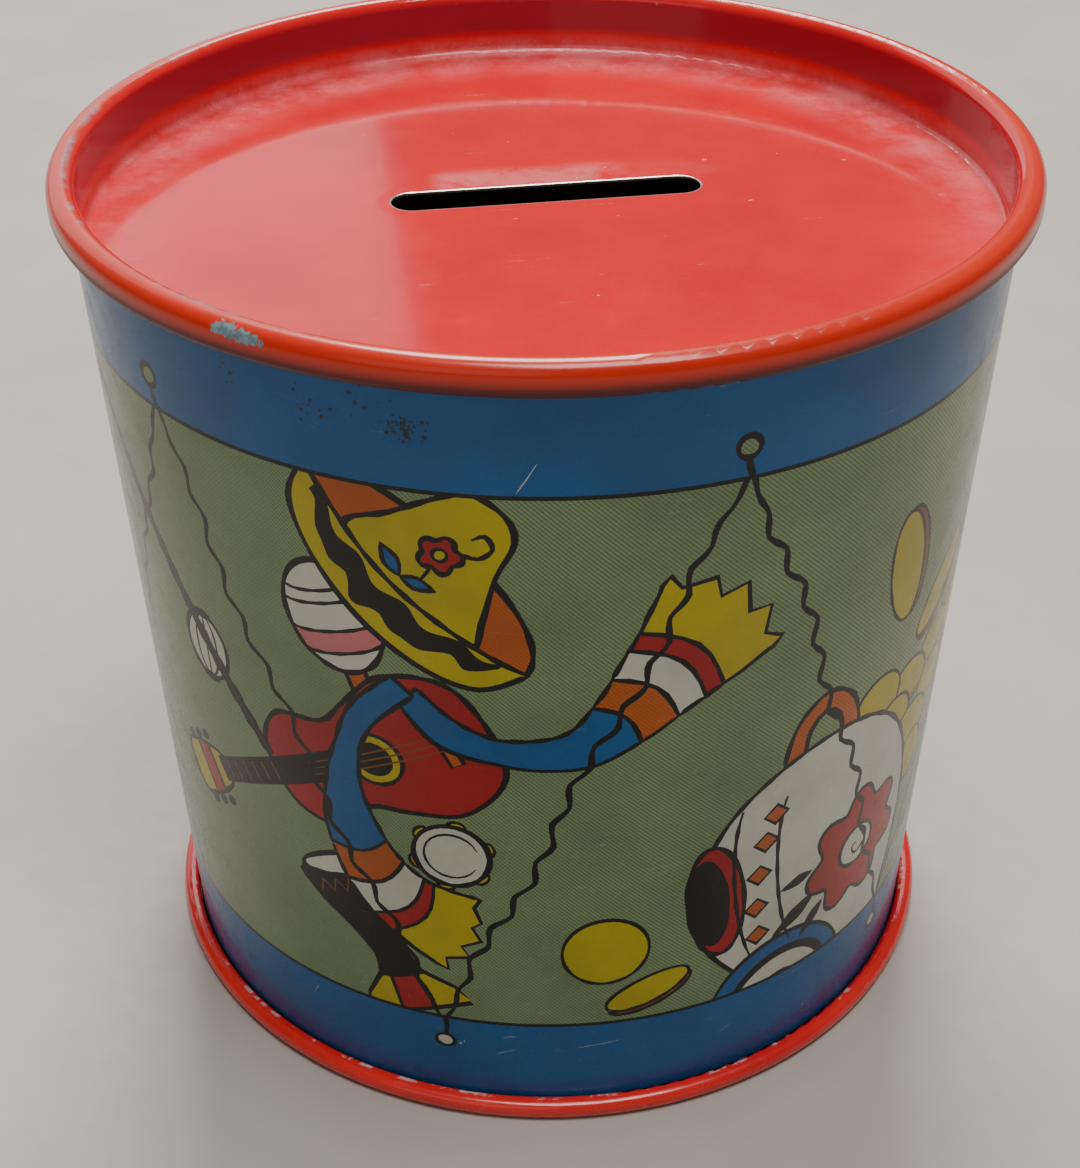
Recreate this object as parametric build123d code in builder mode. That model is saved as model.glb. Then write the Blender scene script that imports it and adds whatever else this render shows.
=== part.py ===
from build123d import *
import os
from math import atan2, cos, sin, sqrt

# A tapered tin money box: a rolled tinplate wall with a locked side seam, a recessed lid with a coin
# slot and a recessed base, both seamed on, and a round base trap held by a quarter-turn latch.
#
# Millimetres, +Z up. The origin is the centre of the ring that the box stands on, and the coin slot
# runs along X. Every pressing is drawn as the middle line of its sheet, which is given the sheet's
# thickness and revolved.

# ---- driving dimensions -------------------------------------------------------------------------
sheet = 0.3  # tinplate of the wall, the ends and the trap plate
strip = 0.5  # steel strip of the latch parts
half_sheet = sheet / 2
half_strip = strip / 2

height = 94.0
lid_bead_r = 50.0  # outer radius of the lid's rolled seam
lid_bead_height = 3.4
lid_panel_z = 86.8  # upper face of the recessed lid panel
lid_recess_r = 47.1  # inner face of the lid's recess
base_bead_r = 45.2  # outer radius of the base's rolled seam
base_bead_height = 2.2
base_panel_z = 5.0  # lower face of the recessed base panel
base_recess_r = 42.3  # inner face of the base's recess
recess_draft = 0.12  # how much each recess widens towards its mouth

wall_head_r = 48.05  # outer radius of the wall where it enters the lid's seam
wall_foot_r = 43.15  # outer radius of the wall where it enters the base's seam
wall_head_z = height - lid_bead_height - 0.4
wall_foot_z = base_bead_height + 0.4

end_hook_gap = 0.2  # between the wall and the end's hook in each seam
body_hook_gap = 0.3  # between the end's hook and the wall's hook in each seam
hook_gap_z = 0.15  # between the wall's flange and the end's bead
lid_body_hook = 2.1  # length of the wall's hook in the lid's seam
base_body_hook = 1.0
lid_end_hook = 2.0
base_end_hook = 1.0

slot_length = 32.6
slot_width = 4.6
slot_offset = 2.9  # the slot lies this far behind the lid's centre
slot_shift = 0.6  # and this far to its right
slot_edge_r = 0.12  # the punch rolls the slot's upper edge over

seam_width = 4.0  # the wall's side seam, folded inwards at the back
seam_layer = 0.22
seam_play = 0.05
seam_set_in = 0.1  # the seam's outer face, behind the wall's outer face
seam_low_z = 9.0
seam_high_z = 84.0

trap_hole_r = 16.0
trap_flange_r = 20.5
trap_lip = 0.8
trap_gap = 0.1  # between the trap's flange and the base panel
trap_rise = 1.5  # how far the trap's middle stands into the hole
latch_half_length = 18.2
latch_width = 8.0
notch_half_length = 18.8
notch_width = 9.6
rivet_r = 2.0
rivet_play = 0.08
washer_r = 5.0
grip_length = 24.0
grip_width = 8.0
grip_low_z = 1.5


def sheet_section(points, radii, thickness=sheet):
    """The section of a pressed sheet in the XZ plane, from the middle line of the sheet."""
    with BuildSketch(Plane.XZ) as section:
        with BuildLine():
            FilletPolyline(*points, radius=radii)
        trace(line_width=thickness)
    return section.sketch


# ---- body wall: one tapered sheet, hooked into both ends and locked to itself at the back --------
head_end_hook_r = wall_head_r + end_hook_gap + half_sheet
head_body_hook_r = head_end_hook_r + sheet + body_hook_gap
head_flange_z = height - sheet - hook_gap_z - half_sheet
foot_end_hook_r = wall_foot_r + end_hook_gap + half_sheet
foot_body_hook_r = foot_end_hook_r + sheet + body_hook_gap
foot_flange_z = sheet + hook_gap_z + half_sheet
wall_line = [
    (head_body_hook_r, head_flange_z - lid_body_hook),
    (head_body_hook_r, head_flange_z),
    (wall_head_r - half_sheet, head_flange_z),
    (wall_head_r - half_sheet, wall_head_z),
    (wall_foot_r - half_sheet, wall_foot_z),
    (wall_foot_r - half_sheet, foot_flange_z),
    (foot_body_hook_r, foot_flange_z),
    (foot_body_hook_r, foot_flange_z + base_body_hook),
]
hook_bend = 0.35
taper_bend = 3.0
wall_bends = [hook_bend, hook_bend, taper_bend, taper_bend, hook_bend, hook_bend]

seam_length = seam_high_z - seam_low_z
seam_mid_z = (seam_high_z + seam_low_z) / 2
taper = atan2(wall_head_r - wall_foot_r, wall_head_z - wall_foot_z)
seam_mid_r = wall_foot_r + (seam_mid_z - wall_foot_z) * sin(taper) / cos(taper)
half_seam = seam_width / 2
fold_x = half_seam - 0.3  # the inner sheet edge's fold, just inside the outer one
free_edge = 0.5  # how far each hooked edge stops short of the fold it faces
buried = 0.5  # how far the seam's strips run on inside the plain wall


def layer_top(level):
    """Outer face of a layer of the seam. Level 0 is the outermost layer."""
    return -seam_set_in - level * (seam_layer + seam_play)


def seam_strip(x_low, x_high, level):
    """One flat layer of the side seam."""
    with Locations(((x_low + x_high) / 2, layer_top(level) - seam_layer / 2)):
        Rectangle(x_high - x_low, seam_layer)


def seam_fold(x, upper_level, lower_level):
    """The bend that joins two layers of the side seam."""
    top = layer_top(upper_level)
    bottom = layer_top(lower_level) - seam_layer
    with Locations((x, (top + bottom) / 2)):
        Rectangle(seam_layer, top - bottom)


with BuildPart() as body_wall:
    revolve(sheet_section(wall_line, wall_bends), axis=Axis.Z)
    with Locations((0, seam_mid_r, seam_mid_z)):
        Box(seam_width, 3 * seam_width, seam_length, mode=Mode.SUBTRACT)
    seam_plane = Plane(
        origin=(0, seam_mid_r, seam_mid_z), x_dir=(1, 0, 0), z_dir=(0, sin(taper), cos(taper))
    )
    with BuildSketch(seam_plane):
        # One edge of the sheet laps over the other and hooks back under it.
        seam_strip(-half_seam - buried, fold_x, 0)
        seam_fold(fold_x, 0, 2)
        seam_strip(-fold_x + free_edge, fold_x, 2)
        # The other edge steps in and hooks back between the first edge's two layers.
        seam_strip(half_seam - seam_layer / 2, half_seam + buried, 0)
        seam_fold(half_seam, 0, 3)
        seam_strip(-fold_x, half_seam, 3)
        seam_fold(-fold_x, 1, 3)
        seam_strip(-fold_x, fold_x - free_edge, 1)
    extrude(amount=seam_length / 2 + buried, both=True)
body_wall.part.label = "body_wall"


# ---- lid end: recessed panel, countersunk wall and rolled bead, with the coin slot ---------------
lid_panel_mid = lid_panel_z - half_sheet
lid_wall_mid = lid_recess_r + half_sheet
lid_line = [
    (0, lid_panel_mid),
    (lid_wall_mid, lid_panel_mid),
    (lid_wall_mid + recess_draft, height - half_sheet),
    (lid_bead_r - half_sheet, height - half_sheet),
    (lid_bead_r - half_sheet, height - lid_bead_height + half_sheet),
    (head_end_hook_r, height - lid_bead_height + half_sheet),
    (head_end_hook_r, height - lid_bead_height + half_sheet + lid_end_hook),
]
lid_bends = [0.9, 1.1, 1.25, 0.9, 0.45]
with BuildPart() as lid_end:
    revolve(sheet_section(lid_line, lid_bends), axis=Axis.Z)
    with BuildSketch(Plane.XY.offset(lid_panel_z)):
        with Locations((slot_shift, slot_offset)):
            SlotOverall(slot_length, slot_width)
    extrude(amount=-2 * sheet, mode=Mode.SUBTRACT)
    slot_rim = lid_end.edges(Select.LAST).group_by(Axis.Z)[-1]
    fillet(slot_rim, radius=slot_edge_r)
lid_end.part.label = "lid_end"


# ---- base end: the same seam the other way up, a stiffening ring and the trap's notched hole -----
base_panel_mid = base_panel_z + half_sheet
base_wall_mid = base_recess_r + half_sheet
ring_r = 31.5
ring_half_width = 2.4
ring_rise = 0.9
base_line = [
    (0, base_panel_mid),
    (ring_r - ring_half_width, base_panel_mid),
    (ring_r - ring_half_width / 2, base_panel_mid + ring_rise),
    (ring_r + ring_half_width / 2, base_panel_mid + ring_rise),
    (ring_r + ring_half_width, base_panel_mid),
    (base_wall_mid, base_panel_mid),
    (base_wall_mid + recess_draft, half_sheet),
    (base_bead_r - half_sheet, half_sheet),
    (base_bead_r - half_sheet, base_bead_height - half_sheet),
    (foot_end_hook_r, base_bead_height - half_sheet),
    (foot_end_hook_r, base_bead_height - half_sheet - base_end_hook),
]
base_bends = [0.6, 0.6, 0.6, 0.6, 0.8, 1.0, 0.95, 0.75, 0.4]
with BuildPart() as base_end:
    revolve(sheet_section(base_line, base_bends), axis=Axis.Z)
    with BuildSketch(Plane.XY.offset(base_panel_z)) as trap_opening:
        Circle(trap_hole_r)
        Rectangle(2 * notch_half_length, notch_width)
        fillet(trap_opening.vertices(), radius=0.8)
    extrude(amount=2 * sheet, mode=Mode.SUBTRACT)
base_end.part.label = "base_end"


# ---- trap plate: a flanged plug that covers the hole, with two pressed stops for the latch -------
plug_top_r = 14.5
plug_foot_r = 15.3
flange_mid = base_panel_z - trap_gap - half_sheet
trap_mid = flange_mid + trap_rise
trap_top_z = trap_mid + half_sheet
trap_line = [
    (0, trap_mid),
    (plug_top_r, trap_mid),
    (plug_foot_r, flange_mid),
    (trap_flange_r - half_sheet, flange_mid),
    (trap_flange_r - half_sheet, flange_mid - trap_lip),
]
trap_bends = [0.5, 0.5, 0.4]
spring_room = 0.6  # height between the trap plate and the latch bar
latch_z = trap_top_z + spring_room  # lower face of the bar's middle
stop_r = 1.3
stop_height = 1.2
stop_gap = 0.05
stop_distance = 11.0  # from the pivot
stop_side = latch_width / 2 + stop_r + stop_gap
stop_along = sqrt(stop_distance**2 - stop_side**2)
stop_places = [(stop_along, -stop_side), (-stop_side, stop_along)]
with BuildPart() as trap_plate:
    revolve(sheet_section(trap_line, trap_bends), axis=Axis.Z)
    with BuildSketch(Plane.XY.offset(trap_top_z)):
        with Locations(*stop_places):
            Circle(stop_r)
    extrude(amount=stop_height)
    fillet(trap_plate.edges().group_by(Axis.Z)[-1], radius=0.4)
    with BuildSketch(Plane.XY.offset(trap_top_z - sheet)):
        with Locations(*stop_places):
            Circle(stop_r - sheet)
    extrude(amount=stop_height, mode=Mode.SUBTRACT)
    with Locations((0, 0, trap_mid)):
        Hole(rivet_r + rivet_play)
trap_plate.part.label = "trap_plate"


# ---- latch bar: a cranked strip whose ends catch over the base panel -----------------------------
latch_mid = latch_z + half_strip
latch_foot_mid = base_panel_z + sheet + 0.15 + half_strip
crank_low_r = 16.6
crank_high_r = 16.1
latch_line = [
    (-latch_half_length, latch_foot_mid),
    (-crank_low_r, latch_foot_mid),
    (-crank_high_r, latch_mid),
    (crank_high_r, latch_mid),
    (crank_low_r, latch_foot_mid),
    (latch_half_length, latch_foot_mid),
]
with BuildPart() as latch_bar:
    extrude(sheet_section(latch_line, 0.4, strip), amount=latch_width / 2, both=True)
    end_corners = latch_bar.edges().filter_by(Axis.Z).filter_by(lambda edge: edge.length < 1)
    fillet(end_corners, radius=1.0)
    with Locations((0, 0, latch_mid)):
        Hole(rivet_r)
latch_bar.part.label = "latch_bar"


# ---- spring washer: a dished washer that keeps the latch from turning by itself ------------------
spring_play = 0.02
with BuildPart() as spring_washer:
    with BuildSketch(Plane.XZ):
        with BuildLine():
            Polyline(
                (rivet_r + rivet_play, latch_z - spring_play - sheet),
                (washer_r, trap_top_z + spring_play),
                (washer_r, trap_top_z + spring_play + sheet),
                (rivet_r + rivet_play, latch_z - spring_play),
                close=True,
            )
        make_face()
    revolve(axis=Axis.Z)
spring_washer.part.label = "spring_washer"


# ---- plain washer: between the trap plate and the finger grip ------------------------------------
plain_washer_z = trap_mid - half_sheet - 0.05 - sheet
with BuildPart() as plain_washer:
    with BuildSketch(Plane.XY.offset(plain_washer_z)):
        Circle(washer_r)
        Circle(rivet_r + rivet_play, mode=Mode.SUBTRACT)
    extrude(amount=sheet)
plain_washer.part.label = "plain_washer"


# ---- finger grip: a folded channel that is pinched, or turned with a coin, to work the latch -----
grip_web_mid = plain_washer_z - half_strip
grip_side = grip_width / 2 - half_strip
with BuildPart() as finger_grip:
    with BuildSketch(Plane.YZ):
        with BuildLine():
            FilletPolyline(
                (-grip_side, grip_low_z),
                (-grip_side, grip_web_mid),
                (grip_side, grip_web_mid),
                (grip_side, grip_low_z),
                radius=0.6,
            )
        trace(line_width=strip)
    extrude(amount=grip_length / 2, both=True)
    fillet(finger_grip.edges().filter_by(Axis.Y).group_by(Axis.Z)[0], radius=2.0)
    with Locations((0, 0, grip_web_mid)):
        Hole(rivet_r)
finger_grip.part.label = "finger_grip"


# ---- pivot rivet: it turns in the trap plate, with the bar and the grip clinched to it -----------
head_r = 3.0
head_height = 1.1
tail_r = 2.8
tail_height = 0.9
head_low_z = grip_web_mid - half_strip - head_height
tail_high_z = latch_z + strip + tail_height
upwards = (Align.CENTER, Align.CENTER, Align.MIN)
with BuildPart() as pivot_rivet:
    with Locations((0, 0, head_low_z)):
        Cylinder(rivet_r, tail_high_z - head_low_z, align=upwards)
        Cylinder(head_r, head_height, align=upwards)
    with Locations((0, 0, latch_z + strip)):
        Cylinder(tail_r, tail_height, align=upwards)
    fillet(pivot_rivet.edges().group_by(Axis.Z)[0], radius=0.7 * head_height)
    fillet(pivot_rivet.edges().group_by(Axis.Z)[-1], radius=0.7 * tail_height)
pivot_rivet.part.label = "pivot_rivet"


# ---- export --------------------------------------------------------------------------------------
pieces = [
    body_wall,
    lid_end,
    base_end,
    trap_plate,
    latch_bar,
    spring_washer,
    plain_washer,
    finger_grip,
    pivot_rivet,
]
os.makedirs("parts", exist_ok=True)
for piece in pieces:
    export_step(piece.part, f"parts/{piece.part.label}.step")
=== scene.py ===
import random
from math import asin, cos, hypot, pi, radians, sin, tau

import bpy
import numpy
from mathutils import Matrix, Vector
from mathutils.geometry import delaunay_2d_cdt


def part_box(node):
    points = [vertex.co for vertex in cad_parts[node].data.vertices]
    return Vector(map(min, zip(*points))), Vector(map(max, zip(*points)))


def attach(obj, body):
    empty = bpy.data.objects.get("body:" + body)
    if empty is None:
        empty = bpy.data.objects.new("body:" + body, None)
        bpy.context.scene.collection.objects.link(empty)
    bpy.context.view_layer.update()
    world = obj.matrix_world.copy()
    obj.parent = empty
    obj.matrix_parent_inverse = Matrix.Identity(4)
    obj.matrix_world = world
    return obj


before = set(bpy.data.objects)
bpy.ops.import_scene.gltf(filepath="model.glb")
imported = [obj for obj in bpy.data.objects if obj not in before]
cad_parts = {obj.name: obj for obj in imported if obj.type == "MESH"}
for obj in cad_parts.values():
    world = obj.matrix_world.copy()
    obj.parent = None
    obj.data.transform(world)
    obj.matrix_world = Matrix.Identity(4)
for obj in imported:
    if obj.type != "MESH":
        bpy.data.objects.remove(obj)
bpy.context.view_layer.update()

# A printed tin money box. The metal comes from the CAD frame. This script adds the lithographed print
# on the wall as a thin skin of flat inks, the finishes, and a plain studio.
# Places are in metres, except in the print's drawing and the finishes, which are in millimetres.

MM = 0.001

SLOT_X, SLOT_Y = 0.6, 2.9  # the middle of the coin slot, and its size, in millimetres
SLOT_LENGTH, SLOT_WIDTH = 32.6, 4.6

# ---- the printed sheet ---------------------------------------------------------------------------
# The drawing has u across the sheet and z up it, in millimetres. u is measured round the wall from
# the middle of the print, which is turned a little from the box's front, at the wall's mean radius.
MEAN_RADIUS = 46.0
ROUND = tau * MEAN_RADIUS
PRINT_TURN = radians(-8.74)
SHEET_LOW, SHEET_HIGH = 1.7, 91.2
STRIPE_LOW, STRIPE_HIGH = 13.0, 79.9  # the black pinstripes, with a blue band beyond each
STRIPE_WIDTH = 0.45
LINE = 0.6  # the black outlines' width
COIN_LINE = 0.42
INK_LIFT = 0.05  # how far the ink stands off the wall
INK_BODY = 0.03  # its thickness
SEAM_HALF_WIDTH = 2.0  # the folded side seam at the back
SEAM_EDGE = 1.85  # the lapped edge, to the right of the seam's middle
SEAM_GAP = 0.1  # between the sheet's two edges
SEAM_DEPTH = 0.1  # how far the seam is set into the wall
SEAM_LOW, SEAM_HIGH = 9.0, 84.0
SEAM_RAMP = 0.4  # the skin goes down into the seam's groove over this distance
CORDS = 5  # drum cords round the wall, each with a ring at the top and a knob at the bottom
CORD_STEP = ROUND / CORDS
FIRST_RING, FIRST_KNOB = -40.4, -11.8

INKS = ["green", "blue", "black", "yellow", "orange", "red", "white", "pink", "ochre", "rust", "bare"]


def turned(points, u, z, turn=0.0):
    """The points turned by so many degrees and moved to (u, z)."""
    c, s = cos(radians(turn)), sin(radians(turn))
    return [(u + (x * c - y * s), z + x * s + y * c) for x, y in points]


def oval(u, z, a, b, turn=0.0, start=0.0, end=360.0):
    """An ellipse, or an arc of one, with points about 0.8 mm apart."""
    count = max(14, int(radians(end - start) * max(a, b) / 0.8))
    last = count if end - start < 360 else count - 1
    spread = [radians(start + (end - start) * i / count) for i in range(last + 1)]
    return turned([(a * cos(t), b * sin(t)) for t in spread], u, z, turn)


def curve(points, closed=False, step=0.9):
    """A smooth Catmull-Rom line through the points."""
    count = len(points)
    spans = count if closed else count - 1
    line = []
    for i in range(spans):
        if closed:
            p = [points[(i + k - 1) % count] for k in range(4)]
        else:
            p = [points[min(max(i + k - 1, 0), count - 1)] for k in range(4)]
        parts = max(2, int(hypot(p[2][0] - p[1][0], p[2][1] - p[1][1]) / step))
        for j in range(parts):
            t = j / parts
            weights = (
                (-t + 2 * t * t - t**3) / 2,
                (2 - 5 * t * t + 3 * t**3) / 2,
                (t + 4 * t * t - 3 * t**3) / 2,
                (-t * t + t**3) / 2,
            )
            line.append(tuple(sum(w * q[k] for w, q in zip(weights, p)) for k in (0, 1)))
    if not closed:
        line.append(points[-1])
    return line


def normals(line, closed):
    """Unit normals to the left of a line, at each point."""
    found = []
    count = len(line)
    for i in range(count):
        if closed:
            a, b = line[i - 1], line[(i + 1) % count]
        else:
            a, b = line[max(i - 1, 0)], line[min(i + 1, count - 1)]
        du, dz = b[0] - a[0], b[1] - a[1]
        length = hypot(du, dz) or 1.0
        found.append((-dz / length, du / length))
    return found


def area(loop):
    """The area inside a loop, negative if the loop runs clockwise."""
    return sum(a[0] * b[1] - b[0] * a[1] for a, b in zip(loop, loop[1:] + loop[:1])) / 2


def grown(loop, amount):
    """A closed loop moved outwards by an amount, a little unevenly, as a pen line is."""
    side = -1 if area(loop) > 0 else 1
    moved = []
    for i, ((u, z), (nu, nz)) in enumerate(zip(loop, normals(loop, True))):
        pen = amount * (1 + 0.22 * sin(i * 0.9 + u))
        moved.append((u + side * nu * pen, z + side * nz * pen))
    return moved


class Drawing:
    """The print, laid flat: filled shapes in painting order."""

    def __init__(self):
        self.shapes = []

    def fill(self, loop, ink):
        self.shapes.append((loop, ink))

    def inked(self, loop, ink, line=LINE):
        """A filled shape with a black outline."""
        self.fill(grown(loop, line / 2), "black")
        self.fill(grown(loop, -line / 2), ink)

    def stroke(self, line, width, ink="black", ends=0.5):
        """A pen line of uneven width that thins towards its ends."""
        left, right = [], []
        count = len(line) - 1
        for i, ((u, z), (nu, nz)) in enumerate(zip(line, normals(line, False))):
            thin = ends + (1 - ends) * min(1.0, 6 * i / count, 6 * (count - i) / count)
            half = width / 2 * thin * (1 + 0.2 * sin(i * 1.3 + u))
            left.append((u + nu * half, z + nz * half))
            right.append((u - nu * half, z - nz * half))
        self.fill(left + right[::-1], ink)

    def band(self, low, high, ink):
        """A level band right round the wall."""
        self.fill([(-ROUND, low), (ROUND, low), (ROUND, high), (-ROUND, high)], ink)

    def wrap(self, other):
        """Another drawing's shapes, so that one cut by the sheet's end goes on at the other end."""
        for loop, ink in other.shapes:
            for shift in (-ROUND, 0.0, ROUND):
                self.fill([(u + shift, z) for u, z in loop], ink)


def ribbon(path, halves, low, high):
    """The two edges of a ribbon between two shares of its length."""
    line = curve(path, step=0.6)
    count = len(line) - 1
    span = len(path) - 1
    left, right = [], []
    for i, ((u, z), (nu, nz)) in enumerate(zip(line, normals(line, False))):
        share = i / count
        if low - 1e-6 <= share <= high + 1e-6:
            at = min(share * span, span - 1e-6)
            half = halves[int(at)] + (halves[int(at) + 1] - halves[int(at)]) * (at % 1)
            left.append((u + nu * half, z + nz * half))
            right.append((u - nu * half, z - nz * half))
    return left, right


def bowed(a, b, bow, teeth=0):
    """The points between a and b on a line bowed to its right, with ragged teeth if asked."""
    count = 2 * teeth if teeth else 6
    du, dz = b[0] - a[0], b[1] - a[1]
    points = []
    for i in range(count + 1):
        share = i / count
        out = bow * sin(pi * share)
        if teeth:
            share += 0.025 * sin(4.1 * i + a[1]) * sin(pi * share)
            out -= 0.0 if i % 2 else 0.11 + 0.04 * sin(2.6 * i + a[0])
        points.append((a[0] + du * share + dz * out, a[1] + dz * share - du * out))
    return points if teeth else points[1:-1]


def sash(art, path, halves):
    """A blue woven sash with orange, white and red bands and a yellow fringe at its far end."""
    left, right = ribbon(path, halves, 0.82, 1.0)
    start = bowed(left[0], right[0], -0.16)[::-1]
    art.inked(left + bowed(left[-1], right[-1], -0.14, 4) + right[::-1] + start, "yellow", LINE * 0.85)
    bands = [("red", 0.79, 0.87), ("white", 0.71, 0.82), ("orange", 0.61, 0.73), ("blue", 0, 0.63)]
    for ink, low, high in bands:
        left, right = ribbon(path, halves, low, high)
        art.inked(left + bowed(left[-1], right[-1], -0.18) + right[::-1], ink, LINE * 0.85)


def petals(u, z, radius, count, depth, turn):
    """A scalloped loop, as the outline of a simple flower."""
    steps = count * 9
    loop = []
    for i in range(steps):
        t = tau * i / steps
        r = radius * (1 - depth * abs(cos(count * t / 2)) ** 3)
        loop.append((r * cos(t), r * sin(t)))
    return turned(loop, u, z, turn)


def flower(art, u, z, radius, turn, count=5):
    """A red flower: a large one has a curl in its middle, a small one a yellow eye."""
    art.inked(petals(u, z, radius, count, 0.25, turn), "red", LINE * 0.9)
    if radius > 4:
        art.inked(oval(u, z, radius * 0.36, radius * 0.33), "white", LINE * 0.9)
        spiral = [(radius * 0.05 * t * cos(t * 1.5), radius * 0.05 * t * sin(t * 1.5)) for t in range(1, 6)]
        art.stroke(curve(turned(spiral, u, z, turn), step=0.3), 0.35)
    else:
        art.inked(oval(u, z, radius * 0.32, radius * 0.32), "yellow", LINE * 0.6)


def leaf(art, u, z, length, turn, ink="blue", fat=0.2):
    """A pointed leaf that grows from (u, z)."""
    half = curve([(0, 0), (length * 0.45, length * fat), (length, 0)], step=0.5)
    under = [(x, -y) for x, y in half[1:-1]][::-1]
    art.inked(turned(half + under, u, z, turn), ink, LINE * 0.7)


def hat(art, u, z, turn):
    """A broad straw hat with an upturned orange-lined brim and a flower on its crown."""

    def at(points):
        return turned(points, u, z, turn)

    art.inked(at(oval(0, 1.6, 14.2, 5.9)), "orange")
    crown = [(-7.6, 0.4), (-6.2, 5.2), (-4.7, 9.8), (-3.2, 12.4), (0.4, 13.0), (3.0, 11.6),
             (4.6, 7.6), (7.4, 3.0), (8.4, 0.2), (0, -1.5)]
    art.inked(at(curve(crown, closed=True)), "yellow")
    upper = curve([(-14.4, 2.2), (-9.5, 0.9), (-4, -0.2), (1, -0.4), (6.5, 0.2), (11, 1.0), (14.4, 2.0)])
    lower = curve([(14.4, 2.0), (12.6, -2.6), (7.6, -5.2), (0, -6.2), (-7.4, -5.0), (-12.6, -2.2),
                   (-14.4, 2.2)])
    art.inked(at(upper + lower[1:-1]), "yellow")
    wave_high = [(x, 0.0195 * x * x - 1.55 + 0.5 * sin(x * 1.05)) for x in range(-12, 13)]
    wave_low = [(x, y - 3.1 + 0.014 * x * x + 0.35 * sin(x * 1.6 + 1)) for x, y in wave_high]
    art.fill(at(curve(wave_high) + curve(wave_low)[::-1]), "black")
    art.stroke(at(curve([(-0.9, 0.9), (0.5, 2.3), (-0.1, 4.4)])), 0.4)
    art.stroke(at(curve([(0.5, 7.0), (2.1, 8.0), (2.2, 9.7), (0.8, 10.2), (0.3, 9.0)], step=0.4)), 0.5)
    flower(art, *at([(-0.3, 5.6)])[0], 2.1, turn)
    leaf(art, *at([(-0.9, 0.9)])[0], 3.7, turn + 161)
    leaf(art, *at([(-0.8, 0.9)])[0], 3.3, turn + 25)


def maraca(art, u, z, turn):
    """A gourd rattle: a round white head with painted rings, on a grip."""
    a, b = 5.0, 6.3  # half the head's width and height
    grip = 9.0

    def at(points):
        return turned(points, u, z, turn)

    def ring(share):
        """Half of a ring round the head at a share of its height."""
        return oval(0, b * share, a * 0.97 * (1 - share * share) ** 0.5, b * 0.16, 0, 180, 360)

    art.inked(at([(-1.1, -b + 1), (-0.9, -b - grip), (0.9, -b - grip), (1.1, -b + 1)]), "orange")
    art.inked(at(oval(0, 0, a, b)), "white")
    art.fill(at(ring(-0.1) + ring(-0.5)[::-1]), "pink")
    for share in (0.62, 0.4, -0.1, -0.5):
        art.stroke(at(ring(share)), 0.4)


def lantern(art, u, z):
    """A ribbed paper lantern."""
    a, b = 3.3, 3.9  # half its width and height
    art.inked(oval(u, z, a, b), "white")
    left, right = [oval(u, z, a * share, b * 0.96, 0, 90, 270) for share in (-0.5, 0.5)]
    middle = curve([(u, z + b * 0.9), (u, z), (u, z - b * 0.9)])
    for rib in (left, middle, right):
        art.stroke(rib, 0.3)
    for end in (1, -1):
        art.fill(oval(u, z + end * b, a * 0.42, 0.55), "black")


def guitar(art, u, z, turn):
    """A guitar with a red body, a black neck and a yellow peg head; turn is the way its neck points."""

    def at(points):
        return turned(points, u, z, turn)

    peg_head = [(27.5, -1.9), (34.5, -3.2), (35.6, 0), (34.5, 3.2), (27.5, 1.9)]
    art.inked(at(curve(peg_head, closed=True)), "yellow")
    art.inked(at([(29.8, -2.7), (32.2, -3.1), (32.2, 3.1), (29.8, 2.7)]), "red", LINE * 0.8)
    for along in (29.3, 31.3, 33.3):
        for side in (1, -1):
            art.fill(at(oval(along, side * 3.9, 0.75, 0.65)), "black")
    body = [(-9.6, 0), (-8.2, 6.2), (-2.5, 8.8), (3.2, 6.9), (7.2, 5.3), (12.6, 6.8), (16.4, 4.2), (17.4, 0)]
    mirrored = [(x, -y) for x, y in body[1:-1]][::-1]
    art.inked(at(curve(body + mirrored, closed=True)), "red")
    art.fill(at([(6.0, -1.9), (28.2, -1.5), (28.2, 1.5), (6.0, 1.9)]), "black")
    for fret in range(6):
        x = 17.6 + fret * 1.75
        art.fill(at([(x, -1.1), (x + 0.22, -1.1), (x + 0.22, 1.1), (x, 1.1)]), "ochre")
    art.inked(at(oval(3.6, 0, 3.1, 3.1)), "yellow", LINE * 0.8)
    art.fill(at(oval(3.6, 0, 2.1, 2.1)), "black")
    art.inked(at([(-5.4, -3.0), (-4.0, -3.0), (-4.0, 3.0), (-5.4, 3.0)]), "orange", LINE * 0.8)
    for string in (-0.9, 0.0, 0.9):
        art.stroke(at(curve([(-4.6, string), (4, string * 0.9), (12, string * 0.8)], step=2)), 0.18, "ochre")


def tambourine(art, u, z):
    """A round tambourine with six pairs of jingles."""
    radius = 4.0
    for i in range(6):
        t = radians(i * 60 + 20)
        art.inked(oval(u + radius * cos(t), z + radius * sin(t), 0.95, 0.7, i * 60 + 110), "yellow", 0.35)
    art.inked(oval(u, z, radius, radius), "white")
    art.stroke(oval(u, z, radius * 0.72, radius * 0.72, 0, 20, 330), 0.28)


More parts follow.
